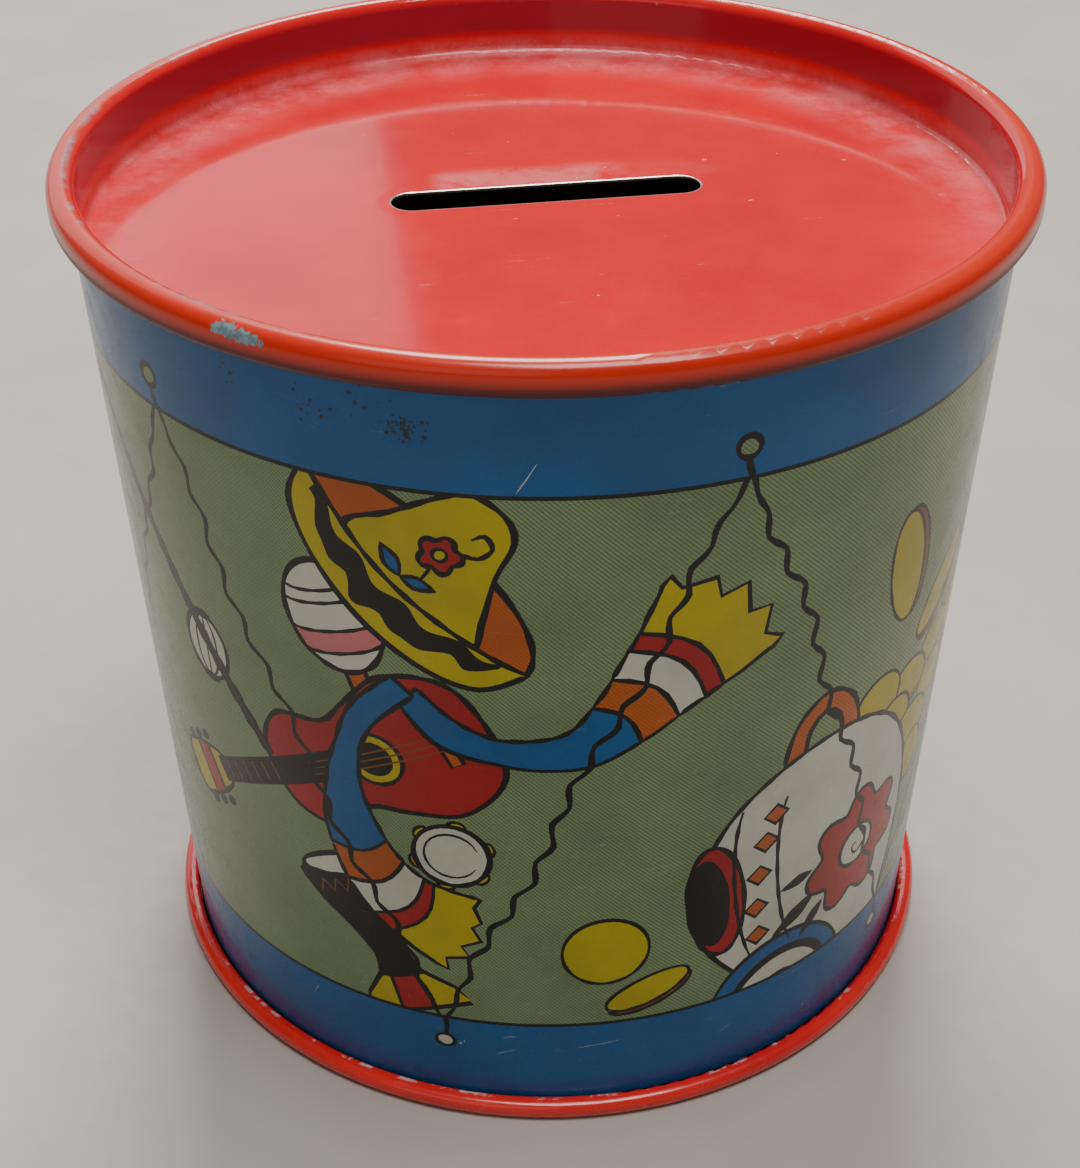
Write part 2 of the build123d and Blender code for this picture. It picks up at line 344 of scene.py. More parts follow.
def drum(art, u, z, turn):
    """A tall goblet drum with a black body and a striped yellow and red foot."""

    def at(points):
        return turned(points, u, z, turn)

    foot = [(-6.6, 0), (-5.6, 2.6), (-2.8, 5.2), (2.8, 5.2), (5.6, 2.6), (6.6, 0)]
    art.inked(at(foot), "yellow")
    art.inked(at([(-2.1, 0.1), (-1.5, 5.1), (1.5, 5.1), (2.1, 0.1)]), "red", LINE * 0.8)
    bowl = [(-2.6, 5.0), (-2.3, 8.0), (-3.8, 12.0), (-6.2, 16.0), (-6.4, 20.0), (6.4, 20.0),
            (6.2, 16.0), (3.8, 12.0), (2.3, 8.0), (2.6, 5.0)]
    art.fill(at(curve(bowl, closed=True)), "black")
    art.inked(at(oval(0, 20, 6.3, 1.5)), "white")
    zigzag = [(-5.4 + 0.9 * i, 17.2 + (0.8 if i % 2 else -0.8)) for i in range(13)]
    art.stroke(at(zigzag), 0.28, "ochre", 1.0)


def coin(art, u, z, a, b, turn=0.0, edge=0.9):
    """A plain gold coin, with its rim showing when it is tilted."""
    if min(a, b) < max(a, b) * 0.8:
        du, dz = turned([(edge, 0) if a < b else (0, -edge)], 0, 0, turn)[0]
        art.inked(oval(u + du, z + dz, a, b, turn), "ochre", COIN_LINE)
    art.inked(oval(u, z, a, b, turn), "yellow", COIN_LINE)


def pot(art, u, z):
    """A white clay pot on its side with its mouth to the left, with a looped handle and painted bands."""

    def at(points):
        return turned(points, u, z)

    handle = [(-4.6, 15.0), (-3.4, 20.0), (0.2, 22.6), (4.0, 20.4), (5.4, 15.6),
              (3.2, 15.6), (2.2, 18.8), (0.0, 20.2), (-1.8, 18.4), (-2.4, 15.0)]
    art.inked(at(curve(handle, closed=True)), "orange")
    belly = [(-13.0, 5.4), (-9.6, 11.2), (-3.8, 15.2), (3.0, 16.6), (9.6, 15.0), (14.6, 10.4),
             (17.6, 3.6), (18.4, -4.6), (17.0, -13.0), (14.8, -18.0), (-2, -18.0), (-8.8, -11.8),
             (-12.4, -7.0), (-14.2, -0.8)]
    art.inked(at(curve(belly, closed=True)), "white")
    for radius, ink in ((9.6, "blue"), (7.2, "black"), (6.6, "white"), (3.4, "black")):
        art.inked(at(oval(-1.6, -18.6, radius, radius * 0.95)), ink, LINE * 0.9)
    art.inked(at(oval(-11.4, -0.8, 3.3, 7.9, 9)), "red")
    art.inked(at(oval(-12.3, -0.8, 2.3, 6.2, 9)), "black", LINE * 0.5)
    for bend in (-5.8, -0.4):
        art.stroke(at(oval(bend, -0.4, 3.4, 13.2, 9, 118, 228)), 0.5)
    for i in range(5):
        t = radians(126 + 23 * i)
        diamond = [(-1.5, 0), (0, 1.3), (1.5, 0), (0, -1.3)]
        place = at([(-3.0 + 3.4 * cos(t), -0.6 + 11.8 * sin(t))])[0]
        art.inked(turned(diamond, *place), "orange", LINE * 0.7)
    for du, dz, length, turn in ((1.2, -2.0, 4.2, 190), (2.0, -5.6, 6.6, 214), (3.6, -7.6, 4.6, 232)):
        leaf(art, u + du, z + dz, length, turn, "black", 0.13)
    flower(art, u + 8.8, z - 2.6, 8.2, 14, 7)


def falling_coins(art, u, z):
    """A stream of coins that overlap, from the upper right down to the pot."""
    places = [(17.5, 13.5, 3.4, 3.9, -30), (12.6, 13.2, 3.9, 3.0, 20), (6.8, 10.8, 4.0, 3.1, -10),
              (0.2, 11.6, 4.1, 3.6, 15), (13.8, 7.6, 3.9, 3.2, 0), (3.6, 6.6, 4.2, 3.5, 25),
              (9.8, 3.4, 4.2, 3.2, -15), (2.4, 0.6, 3.6, 3.0, 10), (11.0, -1.6, 3.2, 3.4, 0)]
    for du, dz, a, b, turn in places:
        art.inked(oval(u + du, z + dz, a, b, turn), "yellow", COIN_LINE)
        art.stroke(oval(u + du + 0.2, z + dz - 0.2, a * 0.72, b * 0.72, turn, 200, 330), 0.25, "ochre")


def musicians_things(art, u):
    """The left half of the scene: a hat, rattles, a guitar, a lantern on a pole, a drum and two sashes."""
    maraca(art, u - 20.4, 64.0, 18)
    drum(art, u - 14.6, 13.4, 21)
    guitar(art, u - 14.2, 49.2, 207)
    tambourine(art, u - 9.9, 36.6)
    lantern(art, u - 38.2, 53.2)
    pole = curve([(u - 56.2, 77.6), (u - 43.2, 60.8), (u - 30.2, 43.2)])
    art.stroke(pole, 1.5, "black", 0.8)
    art.stroke(pole, 0.45, "rust", 0.8)
    flying = [(-13.4, 56.6), (-9.4, 52.4), (-3.4, 50.6), (3.0, 51.2), (7.4, 54.8), (10.8, 58.8),
              (13.8, 62.2), (16.0, 64.8)]
    sash(art, turned(flying, u, 0), [1.4, 1.9, 1.5, 2.0, 2.9, 4.1, 5.6, 7.6])
    hanging = [(-13.8, 57.6), (-18.6, 52.4), (-20.9, 45.4), (-20.8, 38.6), (-18.8, 33.0),
               (-15.6, 29.2), (-12.4, 27.2), (-10.0, 26.1)]
    sash(art, turned(hanging, u, 0), [1.5, 1.5, 1.3, 2.0, 3.2, 4.0, 4.6, 5.6])
    hat(art, u - 13.2, 69.2, -46)


def pot_and_coins(art, u):
    """The right half of the scene: a pot with coins falling and spilling round it."""
    falling_coins(art, u + 38.0, 33.6)
    pot(art, u + 29.6, 28.6)
    coin(art, u + 6.1, 23.6, 4.7, 4.6)
    coin(art, u + 10.9, 17.2, 5.0, 1.9, 24, 0.6)
    coin(art, u + 39.8, 61.6, 2.9, 7.0, 10)
    coin(art, u + 49.4, 54.6, 2.3, 6.4, -48)


def cord_line(start, end, seed):
    """A hand-drawn cord between two points, with a kink at each knot."""
    du, dz = end[0] - start[0], end[1] - start[1]
    length = hypot(du, dz)
    steps = int(length / 1.32)
    points = []
    for i in range(steps + 1):
        share = i / steps
        zigzag = 0.36 * asin(sin(tau * share * length / 5.3 + seed))
        sway = zigzag + 0.5 * sin(share * 17 + 2.1 * seed)
        sway *= min(1.0, share * 8, (1 - share) * 8) / length
        points.append((start[0] + du * share - dz * sway, start[1] + dz * share + du * sway))
    return curve(points, step=0.8)


def cords(art):
    """Drum cords that run in a zigzag between rings at the top and knobs at the bottom."""
    for i in range(CORDS):
        ring, knob = FIRST_RING + i * CORD_STEP, FIRST_KNOB + i * CORD_STEP
        for way, foot in enumerate((knob, knob - CORD_STEP)):
            art.stroke(cord_line((ring + 0.4, 80.6), (foot, 12.2), 1.7 * i + 2.6 * way), 0.6, "black", 0.9)


def cord_ends(art):
    """The rings and knobs, each with a short end of cord."""
    for i in range(CORDS):
        ring, knob = FIRST_RING + i * CORD_STEP, FIRST_KNOB + i * CORD_STEP
        art.stroke(curve([(ring, 82.4), (ring + 0.2, 81.0), (ring + 0.7, 79.8)]), 0.65, "black", 0.9)
        art.inked(oval(ring, 83.2, 1.1, 1.15), "green", 0.58)
        art.stroke(curve([(knob, 13.2), (knob + 0.3, 11.8), (knob + 0.1, 10.2)]), 0.65, "black", 0.9)
        art.inked(oval(knob, 9.4, 1.1, 0.9), "white", 0.45)


def wear(art):
    """Scratches and small chips through the print, mostly on the two blue bands."""
    chance = random.Random(11)
    # each scratch has a place, a length and a turn; each patch a place, a spread and a count of chips
    scratches = [(-2.6, 80.4, 3.6, 60), (-6.0, 8.2, 2.4, 22), (-5.2, 10.8, 1.6, 10),
                 (3.0, 9.4, 5.0, 8), (20.0, 7.4, 1.8, 35), (-29.0, 9.6, 2.0, 60)]
    for u, z, length, turn in scratches:
        line = [(0, 0), (length * 0.5, 0.12 * length * chance.uniform(-1, 1)), (length, 0)]
        art.stroke(curve(turned(line, u, z, turn), step=0.5), 0.08, "bare", 0.2)
    patches = [(-20.6, 87.0, 2.4, 40, "rust"), (-12.0, 86.0, 1.8, 110, "rust"),
               (-28.6, 88.2, 1.6, 14, "rust"), (-14.6, 88.4, 2.4, 24, "rust"), (-11.0, 9.0, 1.6, 5, "bare"),
               (33.4, 5.6, 1.8, 4, "bare"), (-48.0, 8.2, 2.4, 6, "bare"), (60.0, 87.0, 2.6, 14, "rust"),
               (120.0, 7.0, 2.6, 9, "bare"), (-100.0, 86.4, 2.4, 16, "rust"), (-90.0, 40.0, 3.0, 5, "bare")]
    for u, z, spread, count, ink in patches:
        for _ in range(count):
            size = 0.04 + 0.2 * chance.random() ** 2
            where = (u + chance.gauss(0, spread / 2), z + chance.gauss(0, spread / 2.6))
            chip = [(size * chance.uniform(0.5, 1.2) * cos(t), size * chance.uniform(0.5, 1.2) * sin(t))
                    for t in (radians(60 * k) for k in range(6))]
            art.fill(turned(chip, *where), ink)


def drawing():
    """The whole sheet in painting order: background, scene, cords, bands, pinstripes, wear."""
    scene = Drawing()
    for u in (0.0, 2 * CORD_STEP):
        pot_and_coins(scene, u)
        musicians_things(scene, u)
    pot_and_coins(scene, -2 * CORD_STEP)
    cords(scene)
    over = Drawing()
    cord_ends(over)
    wear(over)
    sheet = Drawing()
    sheet.band(SHEET_LOW, SHEET_HIGH, "green")
    sheet.wrap(scene)
    sheet.band(SHEET_LOW, STRIPE_LOW, "blue")
    sheet.band(STRIPE_HIGH, SHEET_HIGH, "blue")
    for z in (STRIPE_LOW, STRIPE_HIGH):
        sheet.band(z - STRIPE_WIDTH / 2, z + STRIPE_WIDTH / 2, "black")
    sheet.wrap(over)
    return sheet.shapes


# ---- the print as a skin on the wall -------------------------------------------------------------
def wall_profile(node):
    """Heights and radii of the wall, in metres: at each height the largest of twelve rays' readings."""
    low, high = SHEET_LOW * MM, SHEET_HIGH * MM
    count, rays, start = 60, 12, 0.2
    rows = []
    for i in range(count + 1):
        z = low + (high - low) * i / count
        reach = 0.0
        for k in range(rays):
            angle = tau * (k + 0.37) / rays
            out = Vector((cos(angle), sin(angle), 0))
            hit, where, _, _ = node.ray_cast(out * start + Vector((0, 0, z)), -out)
            if hit:
                reach = max(reach, hypot(where.x, where.y))
        rows.append((z, reach))
    return rows


def reading(rows, z):
    """A straight-line reading from rows of (height, value)."""
    for (z0, v0), (z1, v1) in zip(rows, rows[1:]):
        if z <= z1:
            return v0 + (v1 - v0) * max(0.0, (z - z0) / (z1 - z0))
    return rows[-1][1]


def inside(loop, places):
    """Which of the places the loop goes round at least once, whichever way."""
    start = loop[:, None, :]
    end = numpy.roll(loop, -1, axis=0)[:, None, :]
    u, z = places[None, :, 0], places[None, :, 1]
    along, up = end[..., 0] - start[..., 0], end[..., 1] - start[..., 1]
    side = along * (z - start[..., 1]) - up * (u - start[..., 0])
    rising = (start[..., 1] <= z) & (end[..., 1] > z) & (side > 0)
    falling = (end[..., 1] <= z) & (start[..., 1] > z) & (side < 0)
    return rising.sum(axis=0) != falling.sum(axis=0)


def sheet_triangles(shapes, u_low, u_high):
    """The sheet cut into triangles along every outline, with the number of each triangle's ink."""
    points, edges = [], []

    def cut(line):
        first = len(points)
        points.extend(Vector(p) for p in line)
        edges.extend((first + i, first + i + 1) for i in range(len(line) - 1))

    # cuts across and along the sheet, so that it follows the wall's curve, closer by the side seam
    columns = [u_low + (u_high - u_low) * i / 160 for i in range(161)]
    seam = MEAN_RADIUS * (pi - PRINT_TURN)
    by_seam = [seam + wrap + 0.2 * i for wrap in (0, -ROUND) for i in range(-12, 13) if abs(i) > 6]
    for u in columns + [u for u in by_seam if u_low < u < u_high]:
        cut([(u, SHEET_LOW), (u, SHEET_HIGH)])
    levels = [SHEET_LOW, 2.1, 2.6, 3.4, 25.0, 40.0, 55.0, 70.0, 88.8, 89.6, 90.4, SHEET_HIGH]
    for z in levels + [SEAM_LOW, SEAM_LOW + SEAM_RAMP, SEAM_HIGH - SEAM_RAMP, SEAM_HIGH]:
        cut([(u_low, z), (u_high, z)])
    shapes = [(loop, ink) for loop, ink in shapes if max(loop)[0] > u_low and min(loop)[0] < u_high]
    for loop, _ in shapes:
        cut(loop + loop[:1])
    points, _, faces, *_ = delaunay_2d_cdt(points, edges, [], 0, 1e-4)
    flat = numpy.array([tuple(p) for p in points])
    faces = numpy.array(faces)
    middles = flat[faces].mean(axis=1)
    kept = (middles > (u_low, SHEET_LOW)).all(axis=1) & (middles < (u_high, SHEET_HIGH)).all(axis=1)
    faces, middles = faces[kept], middles[kept]
    inks = numpy.zeros(len(faces), int)
    for loop, ink in shapes:
        loop = numpy.array(loop)
        near = ((middles > loop.min(axis=0)) & (middles < loop.max(axis=0))).all(axis=1).nonzero()[0]
        inks[near[inside(loop, middles[near])]] = INKS.index(ink)
    return points, faces.tolist(), inks.tolist()


def skin_points(places):
    """The skin's outer and inner points over places on the sheet, and the way out at each."""
    rows = wall_profile(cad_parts["body_wall"])
    outer, inner, ways = [], [], []
    for u, z in places:
        angle = u / MEAN_RADIUS + PRINT_TURN
        r = reading(rows, z * MM)
        slope = (reading(rows, (z + 1) * MM) - reading(rows, (z - 1) * MM)) / (2 * MM)
        off_seam = abs(r / MM * sin(angle)) if cos(angle) < 0 else MEAN_RADIUS
        into_seam = min(SEAM_HALF_WIDTH - off_seam, z - SEAM_LOW, SEAM_HIGH - z)
        dip = SEAM_DEPTH * MM * min(1.0, max(0.0, into_seam / SEAM_RAMP))
        out = Vector((sin(angle), -cos(angle), 0))
        for shell, lift in ((outer, INK_LIFT), (inner, INK_LIFT - INK_BODY)):
            shell.append(out * (r - dip + lift * MM) + Vector((0, 0, z * MM)))
        ways.append((out - Vector((0, 0, slope))).normalized())
    return outer, inner, ways


def skin(materials):
    """The print as a closed skin just off the wall, with one flat ink to each triangle."""
    seam_angle = pi - SEAM_EDGE / MEAN_RADIUS - PRINT_TURN
    u_high = MEAN_RADIUS * seam_angle
    u_low = u_high - ROUND + SEAM_GAP
    points, faces, inks = sheet_triangles(drawing(), u_low, u_high)
    used = sorted({i for face in faces for i in face})
    count = len(used)
    row_of = {point: row for row, point in enumerate(used)}
    places = [(points[i].x, points[i].y) for i in used]
    outer, inner, ways = skin_points(places)
    # the printed front, the back, and the narrow sides that join them round the sheet's border
    fronts = [[row_of[i] for i in face] for face in faces]
    backs = [[i + count for i in face[::-1]] for face in fronts]
    edges = {(a, b) for face in fronts for a, b in zip(face, face[1:] + face[:1])}
    sides = [[b, a, a + count, b + count] for a, b in edges if (b, a) not in edges]
    mesh = bpy.data.meshes.new("printed_skin")
    mesh.from_pydata(outer + inner, [], fronts + backs + sides)
    for ink in INKS:
        mesh.materials.append(materials[ink])
    bare = INKS.index("bare")
    layer = mesh.uv_layers.new(name="sheet")
    corner_normals = []
    for polygon in mesh.polygons:
        front = polygon.index < len(fronts)
        back = not front and polygon.index < 2 * len(fronts)
        polygon.material_index = inks[polygon.index] if front else bare
        polygon.use_smooth = True
        for corner in polygon.loop_indices:
            vertex = mesh.loops[corner].vertex_index
            layer.data[corner].uv = places[vertex % count]
            way = ways[vertex % count]
            corner_normals.append(way if front else -way if back else polygon.normal.copy())
    mesh.normals_split_custom_set(corner_normals)
    piece = bpy.data.objects.new("printed_skin", mesh)
    bpy.context.scene.collection.objects.link(piece)
    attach(piece, "shell")


# ---- finishes ------------------------------------------------------------------------------------
class Finish:
    """A material being built: each call adds one node and returns its first output."""

    def __init__(self, name):
        self.material = bpy.data.materials.new(name)
        self.material.use_nodes = True
        self.tree = self.material.node_tree
        self.shader = self.tree.nodes["Principled BSDF"]

    def add(self, kind, inputs=(), output=0, **settings):
        """A new node of this kind, with its inputs joined or set."""
        node = self.tree.nodes.new("ShaderNode" + kind)
        for name, value in settings.items():
            setattr(node, name, value)
        for socket, value in dict(inputs).items():
            self.join(value, node.inputs[socket])
        return node.outputs[output]

    def join(self, value, socket):
        """Link a socket to another node's output, or give it a plain value."""
        if isinstance(value, bpy.types.NodeSocket):
            self.tree.links.new(value, socket)
        else:
            socket.default_value = value

    def set(self, **values):
        """Give the shader's sockets their values; an underscore stands for a space."""
        for name, value in values.items():
            self.join(value, self.shader.inputs[name.replace("_", " ")])

    def math(self, operation, a, b=0.0):
        return self.add("Math", {0: a, 1: b}, operation=operation)

    def both(self, *shares):
        """The product of several shares."""
        product = shares[0]
        for share in shares[1:]:
            product = self.math("MULTIPLY", product, share)
        return product

    def either(self, *shares):
        """The largest of several shares."""
        most = shares[0]
        for share in shares[1:]:
            most = self.math("MAXIMUM", most, share)
        return most

    def place(self):
        """The place on the part, in millimetres."""
        spot = self.add("TexCoord", output="Object")
        return self.add("VectorMath", {0: spot, "Scale": 1 / MM}, operation="SCALE")

    def sheet_place(self):
        """The place on the flat printed sheet, in millimetres."""
        return self.add("UVMap", uv_map="sheet")

    def coordinate(self, place, axis):
        return self.add("SeparateXYZ", {0: place}, axis)

    def radius(self, place):
        """How far the place is from the box's axis."""
        flat = self.add("VectorMath", {0: place, 1: (1, 1, 0)}, operation="MULTIPLY")
        return self.add("VectorMath", {0: flat}, 1, operation="LENGTH")

    def along(self, place, way):
        """How far the place lies along a direction."""
        return self.add("VectorMath", {0: place, 1: way}, 1, operation="DOT_PRODUCT")

    def noise(self, place, size, detail, rough=0.55, stretch=(1, 1, 1), turn=0.0):
        """Noise with features about this many millimetres across, from 0 to 1."""
        scaled = self.add("Mapping", {"Vector": place, "Scale": stretch, "Rotation": (0, 0, turn)})
        inputs = {"Vector": scaled, "Scale": 1 / size, "Detail": detail, "Roughness": rough}
        return self.add("TexNoise", inputs)

    def step(self, value, low, high, to_low=0.0, to_high=1.0):
        """A smooth step from to_low to to_high as the value goes from low to high."""
        inputs = {"Value": value, "From Min": low, "From Max": high, "To Min": to_low, "To Max": to_high}
        return self.add("MapRange", inputs, interpolation_type="SMOOTHSTEP")

    def mix(self, share, a, b):
        """Colour a to colour b."""
        return self.add("Mix", {0: share, 6: a, 7: b}, 2, data_type="RGBA")

    def bump(self, height, distance, before=None):
        """Relief of so many millimetres."""
        inputs = {"Height": height, "Distance": distance * MM, "Strength": 1.0}
        if before is not None:
            inputs["Normal"] = before
        return self.add("Bump", inputs)


def rgb(red, green, blue):
    """A colour given as it looks on a screen, from 0 to 255, as linear light."""
    screen = [c / 255 for c in (red, green, blue)]
    light = [((c + 0.055) / 1.055) ** 2.4 if c > 0.04045 else c / 12.92 for c in screen]
    return (*light, 1.0)


def times(colour, by, more=0.0):
    """The colour made lighter or darker, with some white added if asked."""
    return (*[min(1.0, c * by + more) for c in colour[:3]], 1.0)


INK_COLOURS = {
    "green": rgb(130, 152, 110),
    "blue": rgb(4, 90, 150),
    "black": rgb(12, 9, 7),
    "yellow": rgb(186, 170, 20),
    "orange": rgb(190, 92, 22),
    "red": rgb(168, 18, 22),
    "white": rgb(204, 206, 188),
    "pink": rgb(206, 116, 118),
    "ochre": rgb(128, 76, 22),
    "rust": rgb(50, 44, 44),
    "bare": rgb(188, 186, 178),
}


def halftone(made, at, strength):
    """The printer's screen: fine slanting rows, half a millimetre apart, a little broken into dots."""
    u, z = made.coordinate(at, 0), made.coordinate(at, 1)
    pitch = 0.5
    rising = made.math("SINE", made.both(made.math("ADD", u, z), tau / pitch))
    falling = made.math("SINE", made.both(made.math("SUBTRACT", u, z), tau / pitch))
    dots = made.math("ADD", made.both(rising, 0.75), made.both(falling, 0.25))
    return made.step(dots, -0.2, 0.8, 0.0, strength)


def ink(name):
    """One printed ink under varnish: mottled and lightly scuffed."""
    made = Finish("ink_" + name)
    at = made.sheet_place()
    colour = INK_COLOURS[name]
    # worn ink is a little paler
    paler = (*[c * 0.84 + min(0.55, 3 * c + 0.01) * 0.16 for c in colour[:3]], 1.0)
    cloud = made.noise(at, 14, 4)
    mottle = made.noise(at, 0.5, 4, 0.7)
    shade = made.mix(made.step(cloud, 0.3, 0.75), colour, times(colour, 0.74))
    shade = made.mix(made.step(mottle, 0.55, 0.95, 0.0, 0.5), shade, paler)
    if name in ("green", "orange"):
        dark = times(colour, 0.28 if name == "green" else 0.6)
        shade = made.mix(halftone(made, at, 0.75), shade, dark)
    streak = made.noise(at, 1.1, 2, 0.5, (0.09, 1.7, 1), 0.5)
    scuff = made.noise(at, 3.2, 5, 0.75)
    worn = made.both(made.step(streak, 0.66, 0.74), made.step(scuff, 0.5, 0.7))
    shade = made.mix(made.both(worn, 0.35), shade, rgb(206, 204, 194))
    rough = made.step(made.math("ADD", scuff, made.both(worn, 0.5)), 0.3, 1.1, 0.2, 0.5)
    peel = made.bump(made.noise(at, 0.9, 2), 0.004)
    made.set(Base_Color=shade, Roughness=rough, Normal=made.bump(made.noise(at, 9, 1), 0.05, peel))
    made.set(Coat_Weight=0.12, Coat_Roughness=0.1, IOR=1.34)
    if name == "bare":
        made.set(Metallic=0.85, Coat_Weight=0.0)
    return made.material


def slot_edge(made, place, reach, fade):
    """1 within so many millimetres of the coin slot's cut edge, and 0 further off."""
    half_width = SLOT_WIDTH / 2
    off_middle = made.math("ABSOLUTE", made.math("SUBTRACT", made.coordinate(place, 0), SLOT_X))
    past_end = made.either(made.math("SUBTRACT", off_middle, SLOT_LENGTH / 2 - half_width), 0.0)
    across = made.math("SUBTRACT", made.coordinate(place, 1), SLOT_Y)
    flat = made.add("CombineXYZ", {0: past_end, 1: across})
    distance = made.add("VectorMath", {0: flat}, 1, operation="LENGTH")
    return made.step(distance, half_width + reach - fade, half_width + reach, 1.0, 0.0)


def spot(made, place, where, size):
    """1 within a ragged spot of the given size round a place, else 0."""
    noise = made.add("TexNoise", {"Vector": place, "Scale": 1.8, "Detail": 4.0}, 1)
    ragged = made.add("VectorMath", {0: noise, 1: (0.5, 0.5, 0.5)}, operation="SUBTRACT")
    moved = made.add("VectorMath", {0: ragged, "Scale": 1.2}, operation="SCALE")
    moved = made.add("VectorMath", {0: place, 1: moved})
    near = made.add("VectorMath", {0: moved, 1: where}, 1, operation="DISTANCE")
    return made.step(near, size * 0.8, size * 1.1, 1.0, 0.0)


def enamel(made, at, colour, deep):
    """Gloss enamel's colour: mottled, with fine scratches and specks of dust. Returns scuffs too."""
    shade = made.mix(made.step(made.noise(at, 16, 3), 0.32, 0.72), colour, deep)
    fine = made.noise(at, 0.45, 4, 0.7)
    shade = made.mix(made.step(fine, 0.5, 0.9, 0.0, 0.3), shade, times(colour, 1.5, 0.02))
    scuff = made.noise(at, 2.6, 5, 0.75)
    streak = made.noise(at, 0.9, 2, 0.5, (0.07, 1.6, 1), 0.9)
    scratch = made.both(made.step(streak, 0.68, 0.75), made.step(scuff, 0.52, 0.68))
    shade = made.mix(made.both(scratch, 0.22), shade, rgb(236, 190, 184))
    specks = made.step(made.noise(at, 1.2, 1), 0.8, 0.83, 0.0, 0.5)
    return made.mix(specks, shade, rgb(238, 200, 194)), scuff


def lid_finish():
    """Red enamel: dusty round the panel, with painted shade in the recess and under the bead, one chip and a
    bare slot edge.
    """
    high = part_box("lid_end")[1] / MM
    made = Finish("lid_enamel")
    at = made.place()
    shade, scuff = enamel(made, at, rgb(222, 24, 32), rgb(206, 20, 32))
    r, z = made.radius(at), made.coordinate(at, 2)
    dust = made.noise(at, 5.5, 5, 0.7)
    # dust that gathers on the panel's border, most on the far side, and painted shade darkening the wall of
    # the recess
    on_panel = made.step(z, high.z - 6.4, high.z - 5.0, 1.0, 0.0)
    border = made.both(made.step(r, high.x - 14.0, high.x - 5.0), on_panel)
    far = made.step(made.along(at, (0.2, 1, 0)), -20, 34, 0.25, 1.0)
    dusty = made.both(border, far, made.step(dust, 0.2, 0.75))
    shade = made.mix(made.both(dusty, 0.7), shade, rgb(228, 122, 128))
    # painted shade: the wall of the recess, between the panel and the bead, is darkened to a deep crimson
    below_bead = made.step(z, high.z - 1.4, high.z - 0.5, 1.0, 0.0)
    inside_bead = made.step(r, high.x - 2.4, high.x - 1.9, 1.0, 0.0)
    recess_shade = made.both(made.step(z, high.z - 5.6, high.z - 4.2), below_bead, inside_bead)
    shade = made.mix(made.both(recess_shade, 0.85), shade, rgb(134, 46, 62))
    # the bead: more orange, with painted shade darkening it below, and its inner edge worn on the left
    on_bead = made.both(made.step(z, high.z - 5.0, high.z - 3.0), made.step(r, high.x - 2.6, high.x - 2.0))
    shade = made.mix(made.both(on_bead, 0.75), shade, rgb(204, 48, 14))
    # painted shade: the bead's lower outside is darkened almost to brown-red
    lower = made.step(z, high.z - 2.7, high.z - 1.3, 1.0, 0.0)
    bead_underside_shade = made.both(lower, made.step(r, high.x - 1.6, high.x - 0.6))
    shade = made.mix(bead_underside_shade, shade, rgb(84, 12, 10))
    past_edge = made.step(r, high.x - 1.8, high.x - 1.4, 1.0, 0.0)
    inner = made.both(made.step(r, high.x - 2.5, high.x - 2.2), past_edge)
    left = made.step(made.along(at, (-1, -0.15, 0)), 10, 44, 0.0, 0.55)
    bare = made.both(inner, on_bead, made.step(dust, 0.48, 0.62), left)
    # the chip is a row of small spots along the bead
    chip_way = radians(-40.4)
    chip = Vector(((high.x - 0.3) * sin(chip_way), (0.3 - high.x) * cos(chip_way), high.z - 0.85))
    sizes = {-2.6: 0.45, -1.8: 0.7, -0.9: 0.8, 0.0: 0.6, 0.8: 0.65, 1.7: 0.5, 2.5: 0.35}
    for aside, size in sizes.items():
        where = chip + Vector((aside * cos(chip_way), aside * sin(chip_way), -0.06 * aside))
        bare = made.either(bare, spot(made, at, where, size))
    tin = made.mix(made.step(made.noise(at, 0.9, 4, 0.7), 0.4, 0.65), rgb(128, 156, 162), rgb(96, 112, 124))
    shade = made.mix(bare, shade, tin)
    # behind the slot a paler pink smear, partly dust and partly painted reflection, and the slot's cut edge
    # is bare tin
    x, y = made.coordinate(at, 0), made.coordinate(at, 1)
    behind = made.both(slot_edge(made, at, 6.0, 3.0), made.step(y, 4.5, 6.0))
    beside = made.both(made.step(x, -12.0, -9.0), made.step(x, 7.0, 11.0, 1.0, 0.15))
    smear_and_sheen = made.both(behind, beside, made.step(dust, 0.35, 0.6, 0.0, 0.4))
    shade = made.mix(smear_and_sheen, shade, rgb(232, 150, 150))
    cut = slot_edge(made, at, 0.26, 0.16)
    shade = made.mix(cut, shade, rgb(226, 222, 214))
    rough = made.step(made.math("ADD", scuff, made.both(dusty, 0.9)), 0.35, 1.4, 0.1, 0.34)
    rough = made.either(rough, made.both(on_bead, 0.26), made.both(bead_underside_shade, 0.6))
    made.set(Base_Color=shade, Roughness=rough, Metallic=made.both(cut, 0.9))
    made.set(Coat_Weight=0.22, Coat_Roughness=0.04, IOR=1.42)
    peel = made.bump(made.noise(at, 1.3, 2), 0.003)
    dented = made.bump(slot_edge(made, at, 1.8, 1.8), -0.02, peel)
    made.set(Normal=made.bump(made.math("SUBTRACT", 1.0, bare), 0.03, dented))
    return made.material


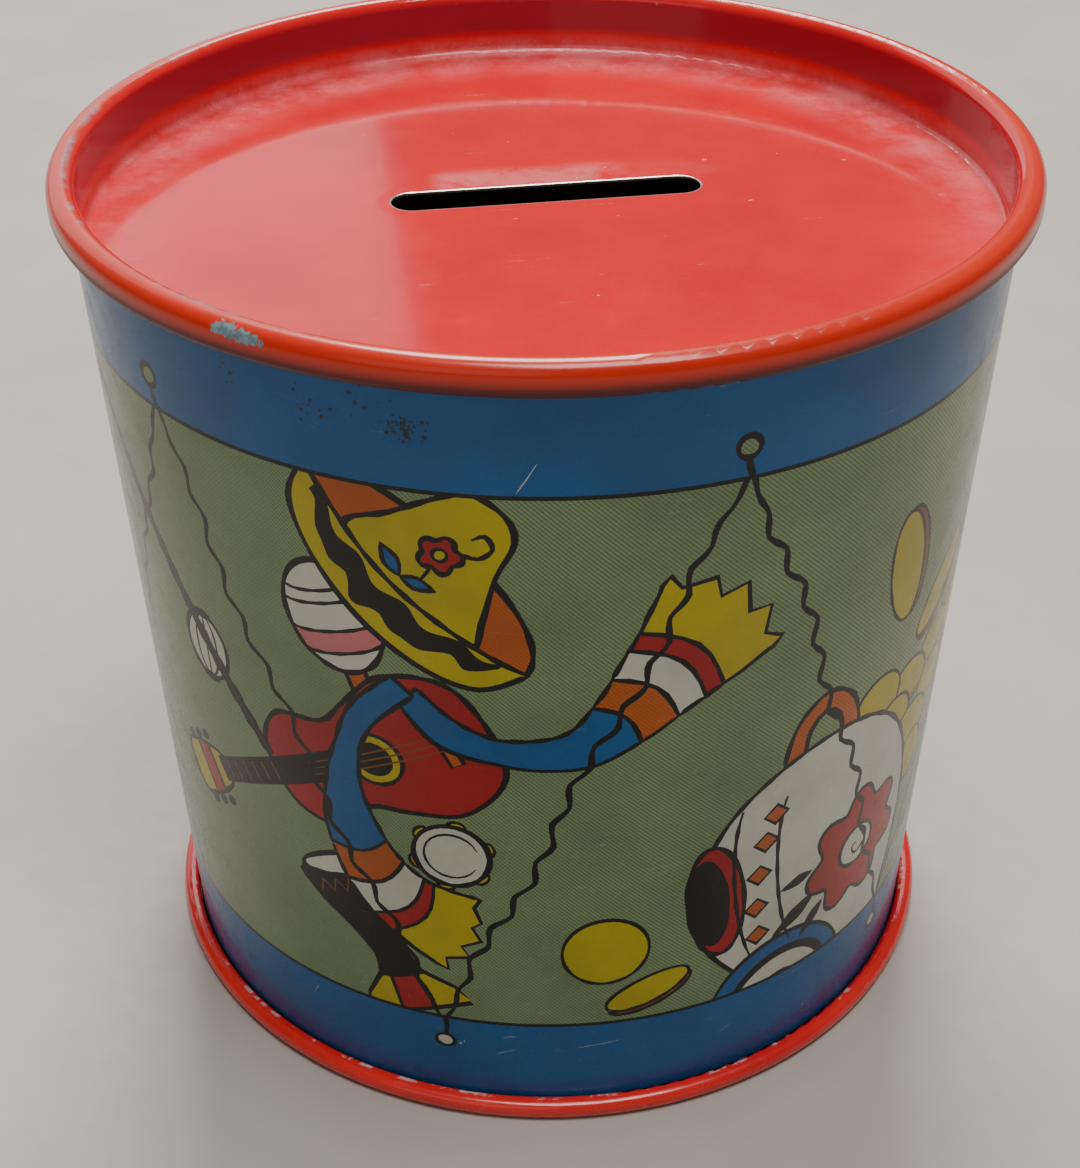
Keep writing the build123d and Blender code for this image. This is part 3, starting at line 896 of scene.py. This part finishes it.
def base_finish():
    """Red enamel, worn to bare tin under the foot, with pale flecks along the bead's inner edge that are
    partly worn tin and partly painted glints.
    """
    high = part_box("base_end")[1] / MM
    made = Finish("base_enamel")
    at = made.place()
    shade, scuff = enamel(made, at, rgb(236, 42, 34), rgb(216, 30, 32))
    r, z = made.radius(at), made.coordinate(at, 2)
    patchy = made.noise(at, 2.6, 5, 0.7)
    # pale flecks along the bead's inner top edge: partly worn tin, partly painted glints
    past_edge = made.step(r, high.x - 1.3, high.x - 1.0, 1.0, 0.0)
    inner_edge = made.both(made.step(r, high.x - 1.7, high.x - 1.5), past_edge)
    rubbed_and_glints = made.both(inner_edge, made.step(z, 1.7, 2.0), made.step(patchy, 0.53, 0.6), 0.75)
    under = made.both(made.step(z, 0.02, 0.25, 1.0, 0.0), made.step(r, high.x - 3.0, high.x - 1.8))
    foot = made.both(under, made.step(patchy, 0.3, 0.6, 0.3, 0.75))
    shade = made.mix(made.either(rubbed_and_glints, foot), shade, rgb(206, 204, 202))
    made.set(Base_Color=shade, Roughness=made.step(scuff, 0.3, 0.9, 0.16, 0.4))
    made.set(Coat_Weight=0.35, Coat_Roughness=0.12, IOR=1.5)
    peel = made.bump(made.noise(at, 1.3, 2), 0.004)
    made.set(Normal=made.bump(made.noise(at, 6, 2), 0.05, peel))
    return made.material


def metal(name, colour, rough_low, rough_high, warm=0.0):
    """Bare or plated sheet metal with a rolling grain and stains."""
    made = Finish(name)
    at = made.place()
    grained = made.noise(at, 0.22, 3, 0.6, (0.05, 2.0, 1))
    stain = made.noise(at, 6, 5, 0.7)
    shade = made.mix(made.step(grained, 0.2, 0.85, 0.0, 0.6), colour, times(colour, 0.66))
    shade = made.mix(made.step(stain, 0.52, 0.8, 0.0, 0.5 + warm), shade, rgb(112, 88, 62))
    rough = made.step(made.math("ADD", grained, stain), 0.6, 1.4, rough_low, rough_high)
    made.set(Base_Color=shade, Roughness=rough, Metallic=1.0)
    made.set(Normal=made.bump(grained, 0.004))
    return made.material


def finish_cad_nodes():
    """The CAD nodes' own materials, by node."""
    plated = metal("plated_steel", rgb(176, 174, 168), 0.22, 0.5)
    finishes = {
        "lid_end": lid_finish(),
        "base_end": base_finish(),
        "body_wall": metal("wall_tin", rgb(186, 170, 124), 0.25, 0.5, warm=0.1),
        "trap_plate": metal("bare_tinplate", rgb(190, 188, 180), 0.2, 0.45),
        "latch_bar": plated,
        "finger_grip": plated,
        "plain_washer": plated,
        "spring_washer": metal("spring_steel", rgb(92, 94, 104), 0.25, 0.5),
        "pivot_rivet": metal("rivet_metal", rgb(186, 150, 82), 0.2, 0.45),
    }
    for name, material in finishes.items():
        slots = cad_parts[name].data.materials
        if not slots:
            slots.append(material)
        for index in range(len(slots)):
            slots[index] = material


# ---- studio --------------------------------------------------------------------------------------
def floor():
    """A plain pale floor with a faint mottle."""
    half = 4.0
    mesh = bpy.data.meshes.new("floor")
    corners = [(-half, -half, 0), (half, -half, 0), (half, half, 0), (-half, half, 0)]
    mesh.from_pydata(corners, [], [(0, 1, 2, 3)])
    made = Finish("floor_pale")
    at = made.place()
    shade = made.mix(made.step(made.noise(at, 40, 4), 0.3, 0.7), rgb(184, 177, 168), rgb(176, 169, 160))
    made.set(Base_Color=shade, Roughness=made.step(made.noise(at, 3, 3), 0.2, 0.8, 0.5, 0.65))
    mesh.materials.append(made.material)
    piece = bpy.data.objects.new("floor", mesh)
    bpy.context.scene.collection.objects.link(piece)


def softbox(name, where, aim, width, height, power, tint):
    """A soft rectangular lamp."""
    light = bpy.data.lights.new(name, "AREA")
    light.shape = "RECTANGLE"
    light.size, light.size_y = width, height
    light.energy = power
    light.color = tint
    lamp = bpy.data.objects.new(name, light)
    bpy.context.scene.collection.objects.link(lamp)
    lamp.location = where
    lamp.rotation_euler = (Vector(aim) - Vector(where)).to_track_quat("-Z", "Y").to_euler()


def studio():
    """The floor, four soft lamps and a dim world."""
    floor()
    middle = (0, 0, 0.05)
    # The tall soft window behind on the left, whose right edge shows in the lid's gloss.
    softbox("window", (-0.62, 1.5, 0.85), (-0.3, 0, 0.1), 1.5, 1.5, 7, (0.97, 0.98, 1.0))
    softbox("back_key", (0.14, 0.92, 1.3), (0, -0.048, 0.094), 0.55, 0.6, 27, (1.0, 0.98, 0.96))
    softbox("overhead", (0.10, -0.28, 1.35), middle, 0.6, 0.6, 14, (1.0, 0.98, 0.95))
    softbox("front_fill", (-0.9, -1.5, 0.9), middle, 1.4, 1.0, 2.5, (1.0, 0.98, 0.96))
    world = bpy.data.worlds.new("studio")
    world.use_nodes = True
    world.node_tree.nodes["Background"].inputs[0].default_value = (0.80, 0.82, 0.86, 1)
    world.node_tree.nodes["Background"].inputs[1].default_value = 0.14
    bpy.context.scene.world = world


def camera():
    """At the photograph's viewing angle: a little above the lid, close to the box."""
    made = bpy.data.cameras.new("camera")
    made.lens = 64.8
    made.sensor_width = 36.0
    made.sensor_fit = "AUTO"
    view = bpy.data.objects.new("camera", made)
    bpy.context.scene.collection.objects.link(view)
    view.location = (-0.03082, -0.20048, 0.17354)
    toward = Vector((0.12341, 0.82568, -0.55048))
    roll = radians(-0.37)
    level = toward.to_track_quat("-Z", "Y").to_matrix()
    view.rotation_euler = (level @ Matrix.Rotation(roll, 3, "Z")).to_euler()
    bpy.context.scene.camera = view


camera()
studio()
finish_cad_nodes()
skin({name: ink(name) for name in INKS})
